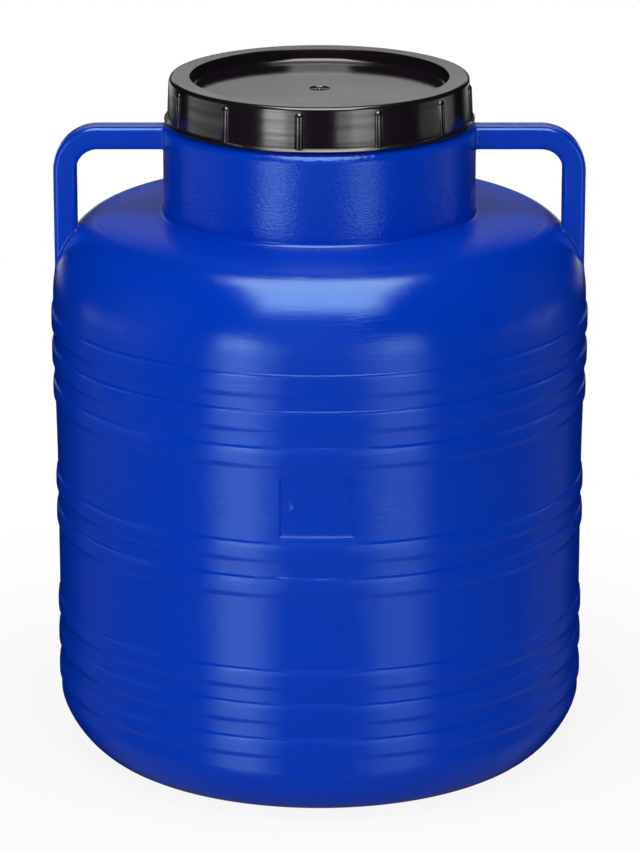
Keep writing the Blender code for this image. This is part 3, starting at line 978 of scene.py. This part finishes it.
def thread_tree(inputs):
    """A right-hand screw ridge on a cylinder, fading out at both ends."""
    tree = GeometryTree("Screw thread", inputs)
    sockets = {
        "Resolution": 120,
        "Rotations": tree.given("Turns"),
        "Start Radius": tree.given("Radius"),
        "End Radius": tree.given("Radius"),
        "Height": tree.given("Pitch") * tree.given("Turns"),
        "Reverse": True,
    }
    spiral = tree.node("GeometryNodeCurveSpiral", None, sockets)
    upright = tree.node("GeometryNodeSetCurveNormal", {"mode": "Z_UP"}, {"Curve": spiral})
    share = tree.node("GeometryNodeSplineParameter", None, None, "Factor")
    first = share / tree.given("Fade")
    last = (1.0 - share) / tree.given("Fade")
    sockets = {"Value": tree.math("MINIMUM", first, last), "To Min": 0.12, "To Max": 1.0}
    fade = tree.node("ShaderNodeMapRange", {"interpolation_type": "SMOOTHSTEP"}, sockets)
    sockets = {"Curve": upright, "Radius": fade}
    faded = tree.node("GeometryNodeSetCurveRadius", None, sockets)
    sockets = {
        "Height": tree.given("Ridge"),
        "Bottom Width": tree.given("Root Width"),
        "Top Width": tree.given("Crest Width"),
        "Offset": 0.0,
    }
    kind = "GeometryNodeCurvePrimitiveQuadrilateral"
    section = tree.node(kind, {"mode": "TRAPEZOID"}, sockets)
    sockets = {"Curve": section, "Count": 3, "Radius": tree.given("Rounding")}
    soft = tree.node("GeometryNodeFilletCurve", {"mode": "POLY"}, sockets)
    sideways = tree.moved(soft, Rotation=tree.vector(Z=-math.pi / 2))
    sockets = {"Curve": faded, "Profile Curve": sideways, "Fill Caps": True}
    screw = tree.node("GeometryNodeCurveToMesh", None, sockets)
    return tree.finish(tree.moved(screw, Translation=tree.vector(Z=tree.given("Start Height"))))


def grow(name, tree, values, material):
    """A plain mesh object made by a geometry tree with these input values."""
    item = make_object(name)
    modifier = item.modifiers.new(name, "NODES")
    modifier.node_group = tree.tree
    for label, value in {**values, "Material": material}.items():
        modifier[tree.identifiers[label]] = value
    as_plain_mesh(item)
    clean(item.data)
    finish_mesh(item, material)
    return item


# ---------------------------------------------------------------- materials


class Recipe(NodeTree):
    """The nodes of a material or a world."""

    def __init__(self, name, library):
        self.block = library.new(name)
        self.block.use_nodes = True
        self.tree = self.block.node_tree
        self.tree.nodes.clear()

    def place(self):
        """Where a point is, in object coordinates."""
        return self.node("ShaderNodeTexCoord", None, None, "Object")

    def parts(self):
        """The place's X, Y and Z."""
        place = self.place()
        return [self.node("ShaderNodeSeparateXYZ", None, {0: place}, axis) for axis in "XYZ"]

    def reach(self):
        """Distance from the barrel's axis."""
        x, y, _ = self.parts()
        return self.math("SQRT", x * x + y * y)

    def steps(self, value, low, high):
        """Smooth step of a strand from 0 to 1 between two values."""
        sockets = {"Value": value, "From Min": low, "From Max": high}
        return self.node("ShaderNodeMapRange", {"interpolation_type": "SMOOTHSTEP"}, sockets)

    def window(self, value, low, high, soft):
        """One between two values and zero outside them, with soft edges."""
        rise = self.steps(value, low - soft, low + soft)
        return rise - self.steps(value, high - soft, high + soft)

    def colour(self, factor, first, second):
        """A colour between two."""
        sockets = {0: factor, 6: first, 7: second}
        return self.node("ShaderNodeMix", {"data_type": "RGBA"}, sockets, 2)

    def shades(self, factor, colour, low, high):
        """A colour from darker to brighter by two gains."""
        return self.colour(factor, rgba(colour, low), rgba(colour, high))

    def noise(self, scale, detail=2.0, roughness=0.5, distortion=0.0):
        """Noise from 0 to 1 round a half, at one scale or at three along the axes."""
        place = self.place()
        if isinstance(scale, tuple):
            sockets = {0: place, 1: scale}
            place = self.node("ShaderNodeVectorMath", {"operation": "MULTIPLY"}, sockets)
            scale = 1.0
        sockets = {"Vector": place, "Scale": scale, "Detail": detail}
        sockets.update({"Roughness": roughness, "Distortion": distortion})
        return self.node("ShaderNodeTexNoise", None, sockets)

    def bump(self, height, distance, strength=1.0, **below):
        """A Bump node over a height, on top of another Normal if one is given."""
        sockets = {"Height": height, "Distance": distance, "Strength": strength, **below}
        return self.node("ShaderNodeBump", None, sockets)

    def principled(self, sockets):
        """A Principled shader."""
        return self.node("ShaderNodeBsdfPrincipled", None, sockets)

    def glow(self, strength, colour=WHITE):
        """An Emission shader."""
        return self.node("ShaderNodeEmission", None, {"Color": colour, "Strength": strength})

    def matt(self, colour, roughness):
        """A Principled shader without any shine."""
        sockets = {"Base Color": colour, "Roughness": roughness, "Specular IOR Level": 0.0}
        return self.principled(sockets)

    def mixed(self, factor, first, second):
        """One shader turning into another."""
        return self.node("ShaderNodeMixShader", None, {0: factor, 1: first, 2: second})

    def looked_at(self):
        """One for what the camera sees, directly, mirrored or through something clear."""
        rays = ("Is Camera Ray", "Is Glossy Ray", "Is Transmission Ray")
        camera, glossy, clear = (
            self.node("ShaderNodeLightPath", None, None, output) for output in rays
        )
        return self.math("MAXIMUM", camera, self.math("MAXIMUM", glossy, clear))

    def finish(self, shader, kind="ShaderNodeOutputMaterial"):
        """Connect the surface and give the material or world."""
        self.node(kind, None, {"Surface": shader}, None)
        return self.block


def rgba(colour, gain=1.0):
    """A colour property as four numbers, brightened by a factor."""
    return (*(channel * gain for channel in colour), 1.0)


def barrel_plastic(look):
    """Satin blue polyethylene: faint flow clouds, mould lines, orange peel and scuffs."""
    recipe = Recipe("satin_blue_plastic", bpy.data.materials)
    height = recipe.parts()[2]
    reach = recipe.reach()
    clouds = recipe.noise(7.0, 3.0, 0.55)
    lines = recipe.noise((40.0, 40.0, 1100.0), 3.0, 0.6)
    peel = recipe.noise(520.0)
    neck = recipe.steps(height, 0.383, 0.392) * (1.0 - recipe.steps(reach, 0.1090, 0.1130))
    top = recipe.steps(height, 0.3700, 0.3800) * recipe.steps(reach, 0.1085, 0.1110)
    top = top * (1.0 - recipe.steps(height, 0.3835, 0.3900))
    top = top * (1.0 - recipe.steps(reach, 0.1520, 0.1620))
    hammered = recipe.noise((420.0, 420.0, 900.0))
    patches = recipe.steps(recipe.noise(21.0, 4.0, 0.6), 0.52, 0.72)
    scratches = recipe.steps(recipe.noise((34.0, 34.0, 620.0), 4.0, 0.65, 0.6), 0.66, 0.74)
    scuffs = scratches * patches
    crest = recipe.steps(reach, look.upper_radius, look.upper_radius + look.band_relief)
    base = recipe.shades(clouds, look.barrel_colour, 0.97, 1.03)
    roughness = look.barrel_roughness + (clouds - 0.5) * 0.04 + (lines - 0.5) * 0.04
    fine = recipe.bump(peel, 0.00004, 0.25)
    beaten = recipe.bump(hammered * (neck + top), 0.00030, 0.8, Normal=fine)
    drawn = recipe.bump(lines * (0.4 + patches * 0.6), 0.00060, 0.5, Normal=beaten)
    sockets = {
        "Base Color": recipe.colour(scuffs * 0.10, base, rgba(look.scuff_colour)),
        "Roughness": roughness + scuffs * 0.10 - crest * 0.02 + top * 0.16,
        "IOR": 1.5,
        "Specular Tint": (0.50, 0.86, 0.85, 1.0),
        "Normal": drawn,
    }
    return recipe.finish(recipe.principled(sockets))


def lid_plastic(look):
    """Glossy black plastic: turned lines on the skirt, faint haze and dust on top."""
    recipe = Recipe("gloss_black_plastic", bpy.data.materials)
    skirt = recipe.steps(recipe.reach(), 0.1022, 0.1030)
    lines = recipe.noise((4.0, 4.0, 2600.0))
    sheen = recipe.steps(recipe.noise((9.0, 9.0, 240.0), 3.0, 0.6), 0.30, 0.70) * skirt
    haze = recipe.noise(16.0, 4.0, 0.6)
    dust = recipe.steps(recipe.noise(900.0, 1.0), 0.74, 0.80)
    base = recipe.shades(haze, look.lid_colour, 0.8, 1.3)
    fine = recipe.bump(recipe.noise(1500.0), 0.00002, 0.25)
    sockets = {
        "Base Color": recipe.colour(dust * 0.10, base, (0.30, 0.30, 0.31, 1.0)),
        "Roughness": look.lid_roughness + (haze - 0.5) * 0.08,
        "IOR": 1.5,
        "Normal": recipe.bump(lines * skirt, 0.00003, 0.6, Normal=fine),
        "Coat Weight": sheen * 0.7,
        "Coat Roughness": 0.15,
    }
    return recipe.finish(recipe.principled(sockets))


def seal_rubber(look):
    """Soft grey seal: fine grain and slightly darker patches."""
    recipe = Recipe("soft_grey_seal", bpy.data.materials)
    grain = recipe.noise(1800.0, 2.0, 0.6)
    sockets = {
        "Base Color": recipe.shades(recipe.noise(60.0, 3.0, 0.6), look.seal_colour, 0.82, 1.1),
        "Roughness": 0.62 + grain * 0.14,
        "Normal": recipe.bump(grain, 0.00004, 0.4),
    }
    return recipe.finish(recipe.principled(sockets))


def floor_paint(studio):
    """Pale floor that keeps the object's shadow and turns into plain white around it."""
    recipe = Recipe("pale_floor", bpy.data.materials)
    colour = recipe.shades(recipe.noise(40.0, 3.0), studio.floor_colour, 0.99, 1.01)
    fade = recipe.steps(recipe.reach(), studio.floor_fade, studio.floor_fade + 0.35)
    factor = (studio.floor_glow + fade * (1.0 - studio.floor_glow)) * recipe.looked_at()
    return recipe.finish(recipe.mixed(factor, recipe.matt(colour, 0.9), recipe.glow(1.0)))


def surround_paint(studio):
    """Dark studio walls with reflectors, a softbox overhead and a pale patch behind.

    All angles are in degrees, seen from the walls' centre. The tilt goes from the front
    over the top to the back.
    """
    recipe = Recipe("studio_walls", bpy.data.materials)
    x, y, z = recipe.parts()
    front = y * -1.0
    up = z - SURROUND_CENTRE
    turn = recipe.math("DEGREES", recipe.math("ARCTAN2", x, front))
    rise = recipe.math("DEGREES", recipe.math("ARCSINE", up * (1.0 / SURROUND_RADIUS)))
    tilt = recipe.math("DEGREES", recipe.math("ARCTAN2", up, front))
    level = recipe.window(rise, *FLOOR_GLIMMER) * 0.10
    for start, end, low, high, brightness, soft, soft_up in REFLECTORS:
        across = recipe.window(turn, start, end, soft)
        level = level + across * recipe.window(rise, low, high, soft_up) * brightness
    around = recipe.math("ABSOLUTE", turn)
    for start, end, low, high, soft, share in PATCHES_BEHIND:
        patch = recipe.steps(around, start, end) * recipe.window(rise, low, high, soft)
        level = level + patch * (studio.behind * share)
    box = recipe.steps(tilt, *OVERHEAD_START) * (1.0 - recipe.steps(tilt, *OVERHEAD_END))
    box = box * recipe.window(x, -OVERHEAD_SPAN, OVERHEAD_SPAN, 0.1)
    level = level + box * studio.overhead
    dark = recipe.matt((0.001, 0.001, 0.001, 1.0), 0.5)
    shader = recipe.mixed(level * (1.0 / BRIGHTEST), dark, recipe.glow(BRIGHTEST))
    warm = recipe.glow(studio.overhead, WARM)
    crown = box * recipe.steps(tilt, *CROWN_START)
    return recipe.finish(recipe.mixed(crown, shader, warm))


# ---------------------------------------------------------------- stage


def build_surround(material):
    """A round studio wall that only reflections see."""
    tilts = math.pi * (np.arange(25) / 24 - 0.5)
    heights = SURROUND_CENTRE + SURROUND_RADIUS * np.sin(tilts)
    outline = np.column_stack((SURROUND_RADIUS * np.cos(tilts), heights))
    verts, faces = turned_mesh(outline, column_angles(48))
    wall = make_object("studio_walls", verts, faces, material)
    for rays in ("camera", "diffuse", "shadow", "transmission"):
        setattr(wall, "visible_" + rays, False)
    material.cycles.emission_sampling = "NONE"


def softbox(name, azimuth, elevation, distance, width, radiance):
    """A soft square lamp that faces the object, given by the light it shows."""
    lamp = bpy.data.lights.new(name, "AREA")
    lamp.shape = "SQUARE"
    lamp.size = width
    lamp.energy = radiance * math.pi * width * width
    item = bpy.data.objects.new(name, lamp)
    bpy.context.scene.collection.objects.link(item)
    turn, rise = math.radians(azimuth), math.radians(elevation)
    level = math.cos(rise)
    heading = Vector((math.sin(turn) * level, -math.cos(turn) * level, math.sin(rise)))
    item.location = Vector(LAMP_AIM) + heading * distance
    item.rotation_mode = "QUATERNION"
    item.rotation_quaternion = heading.to_track_quat("Z", "Y")
    item.visible_camera = False
    item.visible_glossy = False


def white_world(studio):
    """A white world that lights the object by no more than the fill."""
    recipe = Recipe("studio_world", bpy.data.worlds)
    strength = recipe.looked_at() * (1.0 - studio.fill) + studio.fill
    shader = recipe.node("ShaderNodeBackground", None, {"Color": WHITE, "Strength": strength})
    return recipe.finish(shader, "ShaderNodeOutputWorld")


def place_camera(scene):
    """The photograph's long lens, in front of the barrel and a little above it."""
    lens = bpy.data.cameras.new("camera")
    lens.sensor_fit = "HORIZONTAL"
    lens.sensor_width = 36.0
    lens.lens = CAMERA_LENS
    lens.shift_x = CAMERA_SHIFT
    lens.clip_end = 200.0
    camera = bpy.data.objects.new("camera", lens)
    scene.collection.objects.link(camera)
    camera.location = CAMERA_PLACE
    camera.rotation_euler = (math.radians(90.0 - CAMERA_TILT), 0.0, 0.0)
    scene.camera = camera


# ---------------------------------------------------------------- settings


def length_setting(name, note, default):
    """A setting in metres."""
    return bpy.props.FloatProperty(name=name, description=note, default=default, unit="LENGTH")


def factor_setting(name, note, default):
    """A setting from 0 to 1."""
    return bpy.props.FloatProperty(name=name, description=note, default=default, subtype="FACTOR")


def light_setting(name, note, default):
    """A setting for how bright a light is."""
    return bpy.props.FloatProperty(name=name, description=note, default=default)


def colour_setting(name, note, default):
    """A setting with a colour."""
    maker = bpy.props.FloatVectorProperty
    return maker(name=name, description=note, default=default, subtype="COLOR")


class BarrelShape(bpy.types.PropertyGroup):
    """Sizes and colours of the barrel."""

    lower_radius: length_setting("Lower radius", "Outside of the wall below", 0.1840)
    upper_radius: length_setting("Upper radius", "Outside of the wall above", 0.1854)
    wall: length_setting("Wall", "Thickness of the wall", 0.0030)
    band_relief: length_setting("Band relief", "How far a band stands out", 0.00135)
    band_lower_flank: length_setting("Lower flank", "Height of a band's soft lower edge", 0.0046)
    band_upper_step: length_setting("Upper step", "Height of the small ledge on a top band", 0.0004)
    band_upper_flank: length_setting("Upper flank", "Height of a top band's rounded edge", 0.0040)
    handle_width: length_setting("Handle width", "Handle bar, seen from the front", 0.0158)
    handle_depth: length_setting("Handle depth", "Handle bar, from front to back", 0.0195)
    foot_fillet: length_setting("Foot fillet", "Rounding where a handle meets the shoulder", 0.0012)
    plate_width: length_setting("Plate width", "Width of the recessed plate", 0.0490)
    plate_depth: length_setting("Plate depth", "Depth of the recessed plate", 0.0015)
    plate_bevel: length_setting("Plate bevel", "Width of the plate recess's sloping sides", 0.0009)
    barrel_colour: colour_setting("Barrel colour", "Blue of the plastic", (0.0, 0.032, 0.410))
    scuff_colour: colour_setting("Scuff colour", "Pale blue of rubbed plastic", (0.10, 0.20, 0.62))
    barrel_roughness: factor_setting("Barrel roughness", "Satin of the plastic", 0.19)


class LidShape(bpy.types.PropertyGroup):
    """Sizes and colours of the lid, the seal and the screw thread."""

    rib_count: bpy.props.IntProperty(
        name="Ribs", description="Grip ribs round the skirt", default=12, subtype="UNSIGNED"
    )
    rib_width: length_setting("Rib width", "Half the width of a rib", 0.0030)
    rib_depth: length_setting("Rib depth", "Half the depth of a rib", 0.0021)
    rib_proud: length_setting("Rib proud", "How far a rib stands out", 0.0017)
    pitch: length_setting("Pitch", "Rise of the thread in one turn", 0.0080)
    lid_colour: colour_setting("Lid colour", "Black of the lid", (0.0060, 0.0044, 0.0064))
    lid_roughness: factor_setting("Lid roughness", "Gloss of the lid", 0.15)
    seal_colour: colour_setting("Seal colour", "Grey of the seal", (0.30, 0.30, 0.29))


class StudioLight(bpy.types.PropertyGroup):
    """The floor, the lamps and the fill of the plain studio."""

    floor_colour: colour_setting("Floor colour", "Pale floor", (0.90, 0.90, 0.90))
    floor_fade: length_setting("Floor fade", "Where the floor turns into plain white", 0.20)
    floor_glow: factor_setting("Floor glow", "How white the floor is beside the barrel", 0.88)
    overhead: light_setting("Overhead", "Shine of the top softbox", 9.8)
    behind: light_setting("Behind", "Shine of the pale patch behind", 1.1)
    overhead_light: light_setting("Top light", "Light of the top softbox", 3.4)
    front_light: light_setting("Front light", "Light of the front softbox", 3.35)
    left_light: light_setting("Left light", "Light of the left softbox", 1.5)
    right_light: light_setting("Right light", "Light of the right softbox", 1.9)
    fill: light_setting("Fill", "Light from all round", 0.12)


# ---------------------------------------------------------------- operators


class BARREL_OT_shell(bpy.types.Operator):
    """Make the barrel's moulded shell with its handles"""

    bl_idname = "barrel.shell"
    bl_label = "Barrel shell"

    def execute(self, context):
        shape = context.scene.barrel_shape
        barrel = build_barrel(shape, barrel_plastic(shape))
        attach(barrel, "barrel")
        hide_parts("barrel_body")
        return {"FINISHED"}


class BARREL_OT_lid(bpy.types.Operator):
    """Make the lid's shell"""

    bl_idname = "barrel.lid"
    bl_label = "Screw lid"

    def execute(self, context):
        lid = build_lid(lid_plastic(context.scene.lid_shape))
        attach(lid, "lid")
        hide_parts("screw_lid")
        return {"FINISHED"}


class BARREL_OT_ribs(bpy.types.Operator):
    """Make the grip ribs round the lid's skirt"""

    bl_idname = "barrel.ribs"
    bl_label = "Grip ribs"

    def execute(self, context):
        shape = context.scene.lid_shape
        radius, bottom = SKIRT_FOOT
        sizes = {
            "Count": shape.rib_count,
            "Ring Radius": radius + shape.rib_proud - shape.rib_depth,
            "Peg Depth": shape.rib_depth,
            "Peg Width": shape.rib_width,
            "Bottom": bottom,
            "Height": (RIB_TOP - bottom - shape.rib_width) / shape.rib_width,
            "Lean": SKIRT_LEAN,
            "Phase": RIB_PHASE,
        }
        material = bpy.data.materials["gloss_black_plastic"]
        ribs = grow("grip_ribs", rib_tree(sizes), sizes, material)
        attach(ribs, "lid")
        return {"FINISHED"}


class BARREL_OT_threads(bpy.types.Operator):
    """Make the screw ridges on the neck and inside the lid"""

    bl_idname = "barrel.threads"
    bl_label = "Screw threads"

    def execute(self, context):
        pitch = context.scene.lid_shape.pitch
        sizes = {
            "Radius": NECK_THREAD_RADIUS,
            "Pitch": pitch,
            "Turns": 1.6,
            "Start Height": THREAD_START,
            "Ridge": 0.0022,
            "Root Width": 0.0034,
            "Crest Width": 0.0014,
            "Rounding": 0.0004,
            "Fade": 0.08,
        }
        tree = thread_tree(sizes)
        material = bpy.data.materials["satin_blue_plastic"]
        neck_thread = grow("neck_thread", tree, sizes, material)
        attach(neck_thread, "barrel")
        sizes.update({"Radius": LID_THREAD_RADIUS, "Turns": 1.3})
        sizes.update({"Start Height": THREAD_START + pitch / 2})
        sizes.update({"Root Width": 0.0014, "Crest Width": 0.0034})
        material = bpy.data.materials["gloss_black_plastic"]
        lid_thread = grow("lid_thread", tree, sizes, material)
        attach(lid_thread, "lid")
        return {"FINISHED"}


class BARREL_OT_seal(bpy.types.Operator):
    """Make the seal ring"""

    bl_idname = "barrel.seal"
    bl_label = "Seal ring"

    def execute(self, context):
        seal = build_seal(seal_rubber(context.scene.lid_shape))
        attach(seal, "seal")
        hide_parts("lid_gasket")
        return {"FINISHED"}


class BARREL_OT_stage(bpy.types.Operator):
    """Make the floor, studio walls, lamps, world and camera"""

    bl_idname = "barrel.stage"
    bl_label = "Plain studio"

    def execute(self, context):
        scene = context.scene
        studio = scene.studio_light
        signs = ((-1, -1), (1, -1), (1, 1), (-1, 1))
        corners = [(x * FLOOR_REACH, y * FLOOR_REACH, 0.0) for x, y in signs]
        floor = make_object("studio_floor", corners, [(0, 1, 2, 3)], floor_paint(studio))
        floor.visible_glossy = False
        build_surround(surround_paint(studio))
        for place, *lamp in LAMPS:
            softbox(place + "_softbox", *lamp, getattr(studio, place + "_light"))
        scene.world = white_world(studio)
        place_camera(scene)
        scene.view_settings.view_transform = "Standard"
        return {"FINISHED"}


class BARREL_PT_panel(bpy.types.Panel):
    """Lists the barrel's sizes and the steps that make it"""

    bl_idname = "BARREL_PT_panel"
    bl_label = "Plastic Barrel"
    bl_space_type = "VIEW_3D"
    bl_region_type = "UI"
    bl_category = "Barrel"

    def draw(self, context):
        for group in GROUPS:
            settings = getattr(context.scene, group)
            for key in settings.__annotations__:
                self.layout.prop(settings, key)
        for operator in OPERATORS:
            self.layout.operator(operator.bl_idname)


OPERATORS = (
    BARREL_OT_shell,
    BARREL_OT_lid,
    BARREL_OT_ribs,
    BARREL_OT_threads,
    BARREL_OT_seal,
    BARREL_OT_stage,
)
GROUPS = {"barrel_shape": BarrelShape, "lid_shape": LidShape, "studio_light": StudioLight}


def register():
    """Register the settings, the operators and the panel."""
    for key, group in GROUPS.items():
        bpy.utils.register_class(group)
        setattr(bpy.types.Scene, key, bpy.props.PointerProperty(type=group))
    for operator in OPERATORS:
        bpy.utils.register_class(operator)
    bpy.utils.register_class(BARREL_PT_panel)


def unregister():
    """Take back what register did."""
    bpy.utils.unregister_class(BARREL_PT_panel)
    for operator in reversed(OPERATORS):
        bpy.utils.unregister_class(operator)
    for key, group in reversed(GROUPS.items()):
        delattr(bpy.types.Scene, key)
        bpy.utils.unregister_class(group)


def main():
    """Make every piece in order."""
    register()
    bpy.ops.barrel.shell()
    bpy.ops.barrel.lid()
    bpy.ops.barrel.ribs()
    bpy.ops.barrel.threads()
    bpy.ops.barrel.seal()
    bpy.ops.barrel.stage()


if __name__ == "__main__":
    main()
